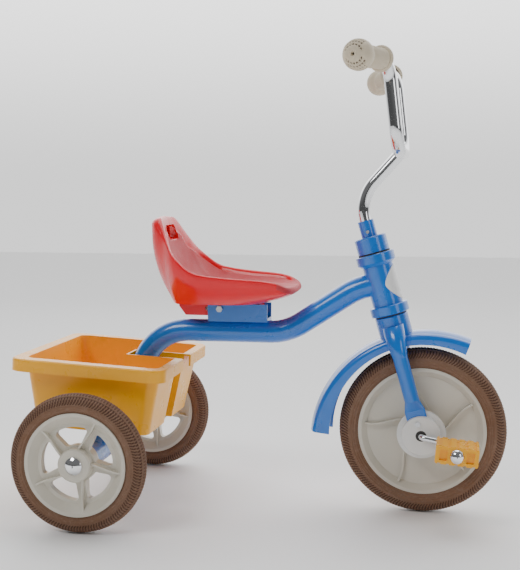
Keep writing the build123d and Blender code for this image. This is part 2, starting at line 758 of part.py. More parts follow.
# plan of the seat at several heights: back, widest point, side, front corner and nose
seat_plans = [(313, (94, 0), (103, 42), (122, 57), (190, 56), (222, 40), (233, 0)),
              (322, (90, 0), (100, 52), (126, 73), (198, 71), (247, 52), (257, 0)),
              (339, (79, 0), (93, 63), (128, 89), (205, 82), (272, 60), (283, 0)),
              (363, (69, 0), (86, 67), (128, 95), (205, 84), (274, 62), (285, 0)),
              (393, (62.5, 0), (75, 62), (108, 88), (205, 92), (274, 68), (286, 0)),
              (415, (60, 0), (70, 46), (95, 66), (205, 95), (274, 70), (286, 0)),
              (446, (60, 0), (66, 30), (84, 46), (205, 95), (274, 70), (286, 0))]
seat_pivot_x = 170.0
seat_back_reach = 113.0
seat_half_width = 96.0
seat_open_low = rail_low - 5
seat_open_high = 460.0


def seat_body(inset, profile):
    """The part of a side profile that stays inside the seat's plans, drawn in by an inset."""
    across = 1 - inset / seat_half_width
    along = 1 - inset / seat_back_reach
    plans = [(seat_open_low, *seat_plans[0][1:]), *seat_plans, (seat_open_high, *seat_plans[-1][1:])]
    with BuildPart() as body:
        for height, *plan in plans:
            points = [(seat_pivot_x + (x - seat_pivot_x) * along, y * across) for x, y in plan]
            with BuildSketch(Plane(origin=(rear_x, 0, height))):
                with BuildLine():
                    Spline(*points, tangents=((0, 1), (0, -1)))
                    Spline(*[(x, -y) for x, y in points], tangents=((0, -1), (0, 1)))
                make_face()
        loft()
        with BuildSketch(rear_side):
            add(profile.line)
            make_face()
        extrude(amount=110, both=True, mode=Mode.INTERSECT)
    return body


def shifted(curve, dx, dz):
    """A curve's points moved by an offset."""
    return [(x + dx, z + dz) for x, z in curve]


with BuildLine() as outer_profile:
    Spline(*back_curve)
    ThreePointArc(back_curve[-1], (67, 442), (76, 443.5))
    Line((76, 443.5), rise_curve[-1])
    Spline(*reversed(rise_curve))
    Spline(*nose_curve)
    Line(nose_curve[-1], back_curve[0])
seat_outer = seat_body(0, outer_profile)

with BuildLine() as bowl_profile:
    Spline(*surface_curve)
    Polyline(surface_curve[-1], (300, 460), surface_curve[0])
seat_bowl = seat_body(9, bowl_profile)

under_curve = shifted(surface_curve, -0.8 * skin, -skin)
with BuildLine() as hollow_profile:
    Spline(*under_curve[:-1])
    Polyline(under_curve[-2], (66, 400), (70, 375), (98, 312), (98, seat_open_low),
             (296, seat_open_low), under_curve[0])
seat_hollow = seat_body(skin, hollow_profile)

slot_half_width = 27.0
slot_low = 407.0
slot_high = 430.0
with BuildPart() as seat_shell:
    add(seat_outer.part)
    add(seat_bowl.part, mode=Mode.SUBTRACT)
    add(seat_hollow.part, mode=Mode.SUBTRACT)
    with BuildSketch(Plane(origin=(rear_x + 40, 0, (slot_low + slot_high) / 2), x_dir=(0, 1, 0),
                           z_dir=(1, 0, 0))):
        RectangleRounded(2 * slot_half_width, slot_high - slot_low, 6)
    extrude(amount=80, mode=Mode.SUBTRACT)
pieces["seat_shell"] = seat_shell

rail_half_width = bracket_inner - body_gap
rail_back = 107.0
rail_front = 236.0
rail_top = 339.0
rail_slot_half = seat_bolt_radius + body_gap
with BuildPart() as seat_rail:
    with BuildSketch(rear_side):
        with BuildLine():
            Polyline((rail_back - 8, rail_top), (rail_back - 4, 306), (rail_back + 6, rail_low),
                     (rail_front, rail_low), (rail_front, rail_top), close=True)
        make_face()
    extrude(amount=rail_half_width, both=True)
    add(seat_hollow.part, mode=Mode.INTERSECT)
    with BuildSketch(rear_side):
        with Locations((seat_bolt_x, seat_bolt_z)):
            SlotCenterToCenter(2 * seat_travel, 2 * rail_slot_half)
    extrude(amount=rail_half_width + 1, both=True, mode=Mode.SUBTRACT)
pieces["seat_rail"] = seat_rail

# ---------------------------------------------------------------- bin
bin_height = bin_top - bin_bottom
run_foot = Vector(rear_x, 0, rear_radius)
run_head = Vector(rear_x + rear_bend[0], 0, rear_bend[1])
run = (run_head - run_foot).normalized().rotate(Axis.Y, -bin_tilt)
slot_offset = (frame_tube_radius + slot_clearance) / run.Z


def slot_back(z, wall=0.0):
    """Where the slot's back wall stands at a height, behind the sloping frame tube."""
    return (z - rear_radius) * run.X / run.Z - slot_offset - wall / run.Z


def slot_prism(wall):
    """The space that the frame tube needs in the bin's front wall, with walls around it."""
    low = bin_bottom - 10 if wall == 0 else bin_bottom
    high = bin_top + 10 if wall == 0 else bin_top
    front = bin_rim_length / 2 + 20
    with BuildPart() as prism:
        with BuildSketch(rear_side):
            with BuildLine():
                Polyline((slot_back(low, wall), low), (slot_back(high, wall), high), (front, high),
                         (front, low), close=True)
            make_face()
        extrude(amount=frame_tube_radius + slot_clearance + wall, both=True)
    return prism


def bin_body(inset, low, high):
    """The bin's tapered body, set in by a wall, between two heights."""
    with BuildPart() as body:
        for z in (low, high):
            share = (z - bin_bottom) / bin_height
            length = bin_length_bottom + share * (bin_length_top - bin_length_bottom)
            width = bin_width_bottom + share * (bin_width_top - bin_width_bottom)
            with BuildSketch(Plane(origin=(rear_x + bin_middle, 0, z))):
                RectangleRounded(length - 2 * inset, width - 2 * inset, bin_corner - inset)
        loft()
    return body


bin_outer = bin_body(0, bin_bottom, bin_top)
bin_inner = bin_body(bin_wall, bin_bottom + bin_wall, bin_top)
lip_low = bin_top - bin_rim_height
slot_walls = slot_prism(bin_wall)
with BuildPart() as slot_inside_bin:
    add(slot_walls.part)
    add(bin_outer.part, mode=Mode.INTERSECT)
with BuildPart() as bin_rim:
    with BuildSketch(Plane(origin=(rear_x + bin_rim_middle, 0, lip_low))):
        RectangleRounded(bin_rim_length, bin_rim_width, bin_corner + 6)
    extrude(amount=bin_rim_height)
    fillet(edges().group_by(Axis.Z)[-1], 3)
    with BuildSketch(Plane(origin=(rear_x + bin_rim_middle, 0, lip_low))):
        RectangleRounded(bin_rim_length - 2 * bin_wall, bin_rim_width - 2 * bin_wall,
                         bin_corner + 6 - bin_wall)
    extrude(amount=bin_rim_height - bin_wall, mode=Mode.SUBTRACT)

screw_head_radius = 5.5
screw_head_height = screw_head_radius - screw_radius
floor_inside = bin_bottom + bin_wall
bin_bolt_places = [(x, y) for x in (-screw_spacing / 2, screw_spacing / 2)
                   for y in (-support_y, support_y)]
with BuildPart() as bin_tub:
    add(bin_outer.part)
    add(bin_rim.part)
    add(bin_inner.part, mode=Mode.SUBTRACT)
    add(slot_inside_bin.part)
    add(slot_prism(0).part, mode=Mode.SUBTRACT)
    with BuildSketch(Plane(origin=(rear_x, 0, bin_bottom))):
        with Locations(*bin_bolt_places):
            Circle(screw_radius)
    extrude(amount=bin_wall, mode=Mode.SUBTRACT)
    with BuildSketch(Plane(origin=(rear_x, 0, floor_inside))):
        with Locations(*bin_bolt_places):
            Circle(screw_head_radius)
    extrude(amount=-screw_head_height, taper=45, mode=Mode.SUBTRACT)
pieces["bin"] = bin_tub

support_thickness = 3.0
support_top = bin_bottom
plate_low = support_top - support_thickness
with BuildPart() as support:
    with BuildSketch(Plane(origin=(rear_x, -support_y, plate_low))):
        RectangleRounded(support_length, support_width, 5)
        with Locations((-screw_spacing / 2, 0), (screw_spacing / 2, 0)):
            Circle(screw_radius, mode=Mode.SUBTRACT)
    extrude(amount=support_thickness)
    with BuildSketch(rear_side.offset(support_y - support_thickness / 2)):
        with BuildLine():
            Polyline((-18, plate_low), (18, plate_low), (24, rear_radius), (-24, rear_radius),
                     close=True)
        make_face()
    extrude(amount=support_thickness)
    add(axle_tube_solid.part, mode=Mode.SUBTRACT)
pieces["bin_supports"] = both_sides(support)

bin_nut_height = 5.0
screw_low = plate_low - bin_nut_height - 2
with BuildPart() as bin_screws:
    with BuildSketch(Plane(origin=(rear_x, 0, screw_low))):
        with Locations(*bin_bolt_places):
            Circle(screw_radius)
    extrude(amount=floor_inside - screw_low)
    with BuildSketch(Plane(origin=(rear_x, 0, floor_inside))):
        with Locations(*bin_bolt_places):
            Circle(screw_head_radius)
    extrude(amount=-screw_head_height, taper=45)
pieces["bin_screws"] = bin_screws
with BuildPart() as bin_nuts:
    with BuildSketch(Plane(origin=(rear_x, 0, plate_low - bin_nut_height))):
        with Locations(*bin_bolt_places):
            RegularPolygon(bolt_head_radius, 6)
            Circle(screw_radius, mode=Mode.SUBTRACT)
    extrude(amount=bin_nut_height)
pieces["bin_nuts"] = bin_nuts

# ---------------------------------------------------------------- lean the bin on its axle tube
for label in ("bin", "bin_supports", "bin_screws", "bin_nuts"):
    with BuildPart() as leaning:
        add(pieces[label].part.rotate(rear_axis, bin_tilt))
    pieces[label] = leaning

# ---------------------------------------------------------------- write the parts
os.makedirs("parts", exist_ok=True)
for label, piece in pieces.items():
    piece.part.label = label
    export_step(piece.part, f"parts/{label}.step")
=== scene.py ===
import bpy
import json
import math
import numpy as np
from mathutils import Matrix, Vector


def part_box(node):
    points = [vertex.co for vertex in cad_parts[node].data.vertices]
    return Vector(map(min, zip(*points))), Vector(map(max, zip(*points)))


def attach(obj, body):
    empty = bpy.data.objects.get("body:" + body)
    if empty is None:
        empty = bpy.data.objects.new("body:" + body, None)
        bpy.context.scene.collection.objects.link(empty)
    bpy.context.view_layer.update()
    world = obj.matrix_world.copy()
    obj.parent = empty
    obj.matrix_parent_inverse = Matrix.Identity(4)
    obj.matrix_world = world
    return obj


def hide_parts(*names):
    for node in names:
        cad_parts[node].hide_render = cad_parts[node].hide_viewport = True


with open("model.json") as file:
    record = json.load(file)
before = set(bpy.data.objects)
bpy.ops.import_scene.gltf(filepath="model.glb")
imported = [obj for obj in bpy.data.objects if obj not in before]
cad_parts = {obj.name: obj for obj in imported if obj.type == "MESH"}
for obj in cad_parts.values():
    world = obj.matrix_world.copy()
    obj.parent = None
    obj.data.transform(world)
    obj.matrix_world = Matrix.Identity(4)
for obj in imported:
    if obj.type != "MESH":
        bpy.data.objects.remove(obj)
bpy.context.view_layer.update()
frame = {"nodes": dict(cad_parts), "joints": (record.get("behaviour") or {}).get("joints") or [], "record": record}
nodes = frame["nodes"]
record_joints = {j["name"]: j for j in frame["joints"]}
MM = 0.001

# ---------------------------------------------------------------- places read from the frame
front_hub = Vector(record_joints["front_wheel_spin"]["pos_m"])
rear_hubs = {side: Vector(record_joints[f"rear_wheel_{side}_spin"]["pos_m"]) for side in ("right", "left")}
for side in rear_hubs:
    low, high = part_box(f"rear_wheel_{side}")
    rear_hubs[side].y = (low.y + high.y) / 2
REAR_MM = rear_hubs["right"].x * 1000


# ---------------------------------------------------------------- camera, lights and floor
def aim(obj, target):
    """Turns an object's -Z towards a point."""
    obj.rotation_euler = (Vector(target) - obj.location).to_track_quat("-Z", "Y").to_euler()


camera = bpy.data.objects.new("camera", bpy.data.cameras.new("camera"))
bpy.context.scene.collection.objects.link(camera)
camera.location = (0.28373, -1.6097, 0.4881)
camera.rotation_euler = (math.pi / 2 - 0.091, 0, 0.1811)
camera.data.sensor_width = 36
camera.data.lens = 67.88
camera.data.clip_end = 50
bpy.context.scene.camera = camera


def softbox(name, place, target, size, power, colour=(1, 1, 1)):
    """A large soft area light."""
    light = bpy.data.lights.new(name, "AREA")
    light.shape = "RECTANGLE"
    light.size, light.size_y = size
    light.energy = power
    light.color = colour
    obj = bpy.data.objects.new(name, light)
    bpy.context.scene.collection.objects.link(obj)
    obj.location = place
    aim(obj, target)
    return obj


softbox("key_light", (-1.3, -1.7, 2.3), (0, 0, 0.3), (1.2, 0.9), 27)
softbox("fill_light", (2.2, -1.6, 1.2), (0, 0, 0.3), (0.8, 1.4), 8)
softbox("top_light", (0.2, 0.3, 2.6), (0, 0, 0.3), (1.6, 1.2), 16)
softbox("back_light", (-0.6, 2.4, 1.4), (0, 0, 0.3), (1.6, 1.2), 5)

world = bpy.data.worlds.new("studio")
bpy.context.scene.world = world
world.use_nodes = True
sky = world.node_tree
background = sky.nodes["Background"]
background.inputs["Color"].default_value = (1, 1, 1, 1)
direction = sky.nodes.new("ShaderNodeTexCoord")
parts = sky.nodes.new("ShaderNodeSeparateXYZ")
ramp = sky.nodes.new("ShaderNodeMapRange")
ramp.interpolation_type = "SMOOTHSTEP"
for socket, number in (("From Min", -0.1), ("From Max", 0.7), ("To Min", 0.16), ("To Max", 2.5)):
    ramp.inputs[socket].default_value = number
lift = sky.nodes.new("ShaderNodeMapRange")
lift.interpolation_type = "SMOOTHSTEP"
for socket, number in (("From Min", 0.0), ("From Max", 0.22), ("To Min", 0.5), ("To Max", 1.0)):
    lift.inputs[socket].default_value = number
blend = sky.nodes.new("ShaderNodeMath")
blend.operation = "MULTIPLY"
sky.links.new(direction.outputs["Generated"], parts.inputs["Vector"])
sky.links.new(parts.outputs["Y"], ramp.inputs["Value"])
sky.links.new(parts.outputs["Z"], lift.inputs["Value"])
sky.links.new(ramp.outputs["Result"], blend.inputs[0])
sky.links.new(lift.outputs["Result"], blend.inputs[1])
sky.links.new(blend.outputs["Value"], background.inputs["Strength"])


# ---------------------------------------------------------------- material helpers
class Shader:
    """A material whose nodes are added one call at a time."""

    def __init__(self, name, colour, roughness, **sockets):
        self.material = bpy.data.materials.new(name)
        self.material.use_nodes = True
        self.tree = self.material.node_tree
        self.surface = self.tree.nodes["Principled BSDF"]
        self.set("Base Color", (*colour, 1))
        self.set("Roughness", roughness)
        for socket, value in sockets.items():
            self.set(socket.replace("_", " "), value)
        self.colour = colour
        self.place = self.add("ShaderNodeTexCoord").outputs["Object"]
        self.normal = None

    def set(self, socket, value):
        """Sets a constant on the surface."""
        self.surface.inputs[socket].default_value = value

    def add(self, kind, **inputs):
        node = self.tree.nodes.new(kind)
        for socket, value in inputs.items():
            self.join(node, socket.replace("_", " "), value)
        return node

    def join(self, node, socket, value):
        if isinstance(value, bpy.types.NodeSocket):
            self.tree.links.new(value, node.inputs[socket])
        else:
            node.inputs[socket].default_value = value

    def noise(self, scale, detail=3.0, roughness=0.55, stretch=None):
        place = self.place
        if stretch:
            mapping = self.add("ShaderNodeMapping", Vector=place)
            mapping.inputs["Scale"].default_value = stretch
            place = mapping.outputs["Vector"]
        return self.add("ShaderNodeTexNoise", Vector=place, Scale=scale, Detail=detail,
                        Roughness=roughness).outputs["Fac"]

    def cells(self, scale):
        return self.add("ShaderNodeTexVoronoi", Vector=self.place, Scale=scale).outputs["Distance"]

    def span(self, value, low, high, to_low, to_high):
        node = self.add("ShaderNodeMapRange", Value=value)
        limits = {"From Min": low, "From Max": high, "To Min": to_low, "To Max": to_high}
        for socket, number in limits.items():
            node.inputs[socket].default_value = number
        return node.outputs["Result"]

    def tint(self, factor, other):
        """Mixes the base colour towards another by a factor."""
        mix = self.tree.nodes.new("ShaderNodeMix")
        mix.data_type = "RGBA"
        self.tree.links.new(factor, mix.inputs[0])
        current = self.surface.inputs["Base Color"]
        if current.is_linked:
            self.tree.links.new(current.links[0].from_socket, mix.inputs[6])
        else:
            mix.inputs[6].default_value = current.default_value
        mix.inputs[7].default_value = (*other, 1)
        self.tree.links.new(mix.outputs[2], current)

    def gloss(self, value):
        self.tree.links.new(value, self.surface.inputs["Roughness"])

    def bump(self, height, strength, distance):
        node = self.add("ShaderNodeBump", Height=height, Strength=strength, Distance=distance)
        if self.normal:
            self.tree.links.new(self.normal, node.inputs["Normal"])
        self.normal = node.outputs["Normal"]
        self.tree.links.new(self.normal, self.surface.inputs["Normal"])


def shade(colour, factor):
    return tuple(c * factor for c in colour)


def moulded(name, colour, roughness, grain, depth, darker=0.8):
    """Injection moulded plastic: faint flow marks, a fine grain and an uneven gloss."""
    s = Shader(name, colour, roughness, Specular_IOR_Level=0.5)
    s.tint(s.span(s.noise(9, 2), 0.35, 0.75, 0, 0.35), shade(colour, darker))
    s.tint(s.span(s.noise(70, 4), 0.45, 0.8, 0, 0.15), shade(colour, darker * 0.9))
    s.gloss(s.span(s.noise(30, 5), 0.3, 0.7, roughness * 0.85, min(1, roughness * 1.25)))
    s.bump(s.noise(14, 2), 0.12, 0.002)
    s.bump(s.noise(grain, 3), 0.25, depth)
    return s


# ---------------------------------------------------------------- materials
BLUE = (0.0, 0.17, 0.66)
RED = (0.86, 0.0, 0.012)
YELLOW = (1.0, 0.46, 0.0)
BEIGE = (0.66, 0.62, 0.53)
BROWN = (0.20, 0.105, 0.062)
GRIP = (0.66, 0.57, 0.42)

blue = Shader("blue_powder_coat", BLUE, 0.3, Coat_Weight=0.8, Coat_Roughness=0.06, Specular_IOR_Level=0.5)
blue.tint(blue.span(blue.noise(5, 2), 0.35, 0.7, 0, 0.4), (0.0, 0.14, 0.56))
blue.tint(blue.span(blue.noise(420, 2), 0.6, 0.8, 0, 0.3), (0.0, 0.20, 0.72))
blue.gloss(blue.span(blue.noise(25, 4), 0.3, 0.7, 0.24, 0.36))
blue.bump(blue.noise(160, 2), 0.1, 0.0008)

chrome = Shader("chrome_plate", (0.86, 0.87, 0.89), 0.05, Metallic=1.0)
chrome.tint(chrome.span(chrome.noise(18, 3), 0.4, 0.75, 0, 0.25), (0.7, 0.71, 0.73))
chrome.gloss(chrome.span(chrome.noise(60, 4), 0.35, 0.75, 0.03, 0.12))
chrome.bump(chrome.noise(50, 2), 0.04, 0.0005)

zinc = Shader("zinc_plated_steel", (0.62, 0.63, 0.65), 0.32, Metallic=1.0)
zinc.tint(zinc.span(zinc.noise(60, 4), 0.4, 0.7, 0, 0.5), (0.45, 0.46, 0.48))
zinc.gloss(zinc.span(zinc.noise(140, 4), 0.3, 0.7, 0.22, 0.45))
zinc.bump(zinc.noise(500, 2, stretch=(1, 0.15, 1)), 0.2, 0.0003)

red_gloss = moulded("red_plastic_gloss", RED, 0.2, 900, 0.0002)
red_grain = Shader("red_plastic_grain", (0.62, 0.03, 0.045), 0.55, Specular_IOR_Level=0.4)
red_grain.tint(red_grain.span(red_grain.cells(750), 0.1, 0.6, 0, 0.55), (0.42, 0.05, 0.055))
red_grain.tint(red_grain.span(red_grain.noise(8, 2), 0.35, 0.7, 0, 0.3), (0.70, 0.02, 0.035))
red_grain.gloss(red_grain.span(red_grain.noise(45, 4), 0.3, 0.7, 0.48, 0.68))
red_grain.bump(red_grain.cells(750), 0.6, 0.0006)
red_grain.bump(red_grain.noise(300, 3), 0.3, 0.0005)

yellow = moulded("yellow_plastic", YELLOW, 0.28, 700, 0.0003, darker=0.86)
beige = moulded("beige_plastic", BEIGE, 0.33, 650, 0.0003, darker=0.85)
white = moulded("white_plastic", (0.80, 0.80, 0.78), 0.33, 650, 0.0003, darker=0.88)
black = moulded("black_plastic", (0.035, 0.033, 0.03), 0.5, 700, 0.0004, darker=0.6)
grip = moulded("grip_rubber", GRIP, 0.6, 800, 0.0005, darker=0.8)
grip.set("Sheen Weight", 0.15)
# dark brown for the dimples and the open end of the grip: painted shade in these hollows, not a second rubber
grip_hollow_painted_shade = moulded("grip_hollow_painted_shade", (0.13, 0.10, 0.07), 0.8, 800, 0.0005, darker=0.7)

rubber = Shader("brown_tyre_rubber", BROWN, 0.7, Specular_IOR_Level=0.4)
rubber.tint(rubber.span(rubber.noise(16, 4), 0.35, 0.7, 0, 0.6), (0.22, 0.13, 0.085))
rubber.tint(rubber.span(rubber.noise(260, 5, 0.7), 0.5, 0.75, 0, 0.55), (0.30, 0.19, 0.13))
rubber.gloss(rubber.span(rubber.noise(60, 4), 0.3, 0.7, 0.6, 0.85))
rubber.bump(rubber.noise(420, 4), 0.45, 0.0008)

# darker brown for the deepest tread faces: painted shade in the grooves, not a different rubber
groove_painted_shade = Shader("brown_tyre_groove_painted_shade", (0.085, 0.042, 0.028), 0.85, Specular_IOR_Level=0.3)
groove_painted_shade.tint(groove_painted_shade.span(groove_painted_shade.noise(90, 4), 0.35, 0.7, 0, 0.6), (0.13, 0.07, 0.045))
groove_painted_shade.gloss(groove_painted_shade.span(groove_painted_shade.noise(60, 4), 0.3, 0.7, 0.75, 0.95))
groove_painted_shade.bump(groove_painted_shade.noise(420, 4), 0.45, 0.0008)

badge = moulded("badge_film", (0.85, 0.85, 0.84), 0.25, 500, 0.0001, darker=0.9)

MATERIALS = {
    "blue_paint": blue, "chrome": chrome, "zinc_steel": zinc, "red_plastic": red_gloss,
    "yellow_plastic": yellow, "beige_plastic": beige, "brown_rubber": rubber, "grip_rubber": grip,
    "white_plastic": white, "black_plastic": black, "badge": badge,
}
for entry in frame["record"]["subparts"]:
    data = nodes[entry["node"]].data
    data.materials.clear()
    data.materials.append(MATERIALS[entry["material_slot"]].material)


# ---------------------------------------------------------------- mesh helpers
def smooth_curve(points, samples):
    """Evenly spaced points on a smooth curve through the given points."""
    p = np.array(points, float)
    count = len(p)
    p = np.vstack([2 * p[0] - p[1], p, 2 * p[-1] - p[-2]])
    t = np.linspace(0, count - 1, 60 * count)
    i = np.minimum(t.astype(int), count - 2)
    u = (t - i)[:, None]
    a, b, c, d = p[i], p[i + 1], p[i + 2], p[i + 3]
    dense = 0.5 * (2 * b + (c - a) * u + (2 * a - 5 * b + 4 * c - d) * u ** 2
                   + (3 * b - a - 3 * c + d) * u ** 3)
    run = np.concatenate([[0], np.cumsum(np.linalg.norm(np.diff(dense, axis=0), axis=1))])
    at = np.linspace(0, run[-1], samples)
    return np.stack([np.interp(at, run, dense[:, k]) for k in range(p.shape[1])], axis=1)


def grid(name, rows, shader, second=None, pick=None, cap=False, closed=False):
    """A mesh object from rings of points, each ring closed on itself."""
    rows = np.asarray(rows, float)
    count, around = rows.shape[:2]
    index = np.arange(count * around).reshape(count, around)
    if closed:
        index = np.vstack([index, index[:1]])
    turned = np.roll(index, -1, axis=1)
    faces = np.stack([index[:-1], turned[:-1], turned[1:], index[1:]], axis=-1).reshape(-1, 4).tolist()
    if cap:
        faces.append(index[0, ::-1].tolist())
    mesh = bpy.data.meshes.new(name)
    mesh.from_pydata((rows.reshape(-1, 3) * MM).tolist(), [], faces)
    mesh.materials.append(shader.material)
    if second:
        mesh.materials.append(second.material)
        chosen = [1 if pick(f // around, f % around) else 0 for f in range((len(index) - 1) * around)]
        mesh.polygons.foreach_set("material_index", chosen + [1] * (len(faces) - len(chosen)))
    mesh.polygons.foreach_set("use_smooth", [True] * len(faces))
    mesh.update()
    obj = bpy.data.objects.new(name, mesh)
    bpy.context.scene.collection.objects.link(obj)
    return obj


def fade(value, low, high):
    """A smooth step from 0 at low to 1 at high."""
    u = np.clip((value - low) / (high - low), 0, 1)
    return u * u * (3 - 2 * u)


# ---------------------------------------------------------------- seat
# from the rear axle: length, height and half width along the seat's ridge
RIDGE = [(76, 443, 0), (77.5, 441.5, 22), (82, 438, 42), (94, 415, 62), (106, 393, 82), (120, 378, 91),
         (140, 363, 94), (165, 357, 90), (205, 353, 84), (240, 350, 79), (262, 346, 73), (274, 342, 62),
         (280, 340, 40), (281, 339, 18), (281, 339, 0)]
# the middle line of the sitting surface: length and height
FLOOR = [(70, 462), (76, 446), (82, 434), (92, 408), (100, 385), (116, 360), (138, 343), (165, 335),
         (200, 335), (235, 338), (270, 338.5), (290, 338)]
# the lower edge of the skirt: length and half width
FOOT = [(94, 0), (97, 22), (103, 42), (122, 57), (190, 56), (218, 44), (231, 22), (233, 0)]
SIDE = 64
half_ridge = smooth_curve(RIDGE, SIDE + 1)
half_foot = smooth_curve(FOOT, SIDE + 1)
floor_curve = smooth_curve(FLOOR, 400)


def both_sides(half, across):
    """A half outline and its mirror image as one closed loop."""
    mirror = half[-2:0:-1].copy()
    mirror[:, across] *= -1
    return np.vstack([half, mirror])


ridge = both_sides(half_ridge, 2)
foot = both_sides(half_foot, 1)
ridge_plan = ridge[:, [0, 2]]
ridge_z = ridge[:, 1]
heart = np.array([195.0, 0.0])
reach = np.linalg.norm(ridge_plan - heart, axis=1)


def bowl(x):
    """The height of the sitting surface on the middle line."""
    return np.interp(x, floor_curve[:, 0], floor_curve[:, 1])


def bowl_row(share):
    """A ring of the sitting surface at a share of the way from its heart to the ridge."""
    share = np.broadcast_to(share, reach.shape)
    plan = heart + (ridge_plan - heart) * share[:, None]
    z = bowl(plan[:, 0]) + (ridge_z - bowl(ridge_plan[:, 0])) * share ** 3
    return np.column_stack([plan, z])


lip = 1 - fade(ridge[:, 0], 262, 281)
seat_rows = [bowl_row(s * (1 - 11 / reach)) for s in np.linspace(0.03, 1, 30)]
bowl_rows = len(seat_rows)
# the rolled lip: distance in from the ridge, and rise
for inward, rise in ((10, -0.4), (9.2, -1.5), (8.6, -1.6), (7.8, -0.4), (7.2, 1.0), (6, 2.2), (4.4, 2.9),
                     (2.8, 2.9), (1.4, 2.3), (0.5, 1.4), (0, 0.6)):
    row = bowl_row(1 - inward / reach)
    row[:, 2] += rise * lip
    seat_rows.append(row)
outward = ridge_plan - np.array([160.0, 0.0])
outward /= np.linalg.norm(outward, axis=1)[:, None]
back = np.clip((106 - ridge[:, 0]) / 30, 0, 1) ** 1.5
swell = 1.2 + 15 * back + 3 * (1 - lip)
drop = 1.5 + 9.5 * back + 5 * (1 - lip)
for angle in np.radians([12, 24, 36, 50, 64, 78, 90]):
    plan = ridge_plan + outward * (swell * math.sin(angle))[:, None]
    seat_rows.append(np.column_stack([plan, ridge_z + 0.6 * lip - drop * (1 - math.cos(angle))]))
brow = seat_rows[-1]
for q in np.linspace(0.04, 1, 26):
    bend = q ** (2.4 - 0.7 * (1 - lip))
    plan = brow[:, :2] * (1 - bend)[:, None] + foot * bend[:, None]
    seat_rows.append(np.column_stack([plan, brow[:, 2] * (1 - q) + 313 * q]))
for row in seat_rows:
    row[:, 0] += REAR_MM
nose_x = 266 + REAR_MM


def seat_is_grained(row, column):
    """Whether a face is in the bowl or on the front of the nose."""
    here = seat_rows[min(row + 1, len(seat_rows) - 1)][column]
    return row < bowl_rows or (here[0] > nose_x and row < bowl_rows + 22)


seat = grid("seat_moulding", seat_rows, red_gloss, red_grain, seat_is_grained, cap=True)
if seat.data.polygons[0].normal.z < 0:
    seat.data.flip_normals()
skin = seat.modifiers.new("wall", "SOLIDIFY")
skin.thickness = 3 * MM
skin.offset = -1


def rounded_loop(half_y, half_z, radius, middle_z, steps=8):
    """Points round a rounded rectangle across the tricycle."""
    loop = []
    for corner, (sy, sz) in enumerate(((1, 1), (-1, 1), (-1, -1), (1, -1))):
        for step in range(steps + 1):
            a = math.radians(90 * corner + 90 * step / steps)
            loop.append((sy * (half_y - radius) + radius * math.cos(a),
                         middle_z + sz * (half_z - radius) + radius * math.sin(a)))
    return loop


SLOT_MIDDLE = 418.5
SLOT_HALF_WIDTH = 27
SLOT_HALF_HEIGHT = 11.5
SLOT_CORNER = 7
hole = rounded_loop(SLOT_HALF_WIDTH, SLOT_HALF_HEIGHT, SLOT_CORNER, SLOT_MIDDLE)
cutter_verts = []
for x, widen in ((40, 2.2), (84, 1), (125, 1)):
    cutter_verts += [((x + REAR_MM) * MM, y * widen * MM, z * MM) for y, z in hole]
around = len(hole)
cutter_faces = [(k + i, k + (i + 1) % around, k + around + (i + 1) % around, k + around + i)
                for k in (0, around) for i in range(around)]
cutter_faces += [tuple(range(around - 1, -1, -1)), tuple(range(2 * around, 3 * around))]
cutter_mesh = bpy.data.meshes.new("slot_cutter")
cutter_mesh.from_pydata(cutter_verts, [], cutter_faces)
cutter = bpy.data.objects.new("slot_cutter", cutter_mesh)
bpy.context.scene.collection.objects.link(cutter)
cut = seat.modifiers.new("hand_slot", "BOOLEAN")
cut.object = cutter
cut.operation = "DIFFERENCE"
cut.solver = "EXACT"
bpy.context.view_layer.update()
finished = bpy.data.meshes.new_from_object(seat.evaluated_get(bpy.context.evaluated_depsgraph_get()))
seat.modifiers.clear()
seat.data = finished
finished.polygons.foreach_set("use_smooth", [True] * len(finished.polygons))
finished.set_sharp_from_angle(angle=math.radians(40))
bpy.data.objects.remove(cutter)
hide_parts("seat_shell")
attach(seat, "seat")

liner_rows = []
for share in np.linspace(0, 1, 9):
    grow = 1.6 * (2 * share - 1) ** 4
    ring = []
    for y, z in rounded_loop(26.2 + grow, 10.7 + grow, 7, SLOT_MIDDLE):
        front = float(np.interp(-z, -floor_curve[:, 1], floor_curve[:, 0]))
        wide = y * (1 + 0.6 * (1 - share))
        depth = 61.6 + abs(wide) * 0.2
        ring.append((REAR_MM + depth + (front - 1 - depth) * share, wide, z))
    liner_rows.append(ring)
liner = grid("seat_slot_liner", liner_rows, red_gloss)
liner_wall = liner.modifiers.new("wall", "SOLIDIFY")
liner_wall.thickness = 1.4 * MM
liner_wall.offset = 0
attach(liner, "seat")


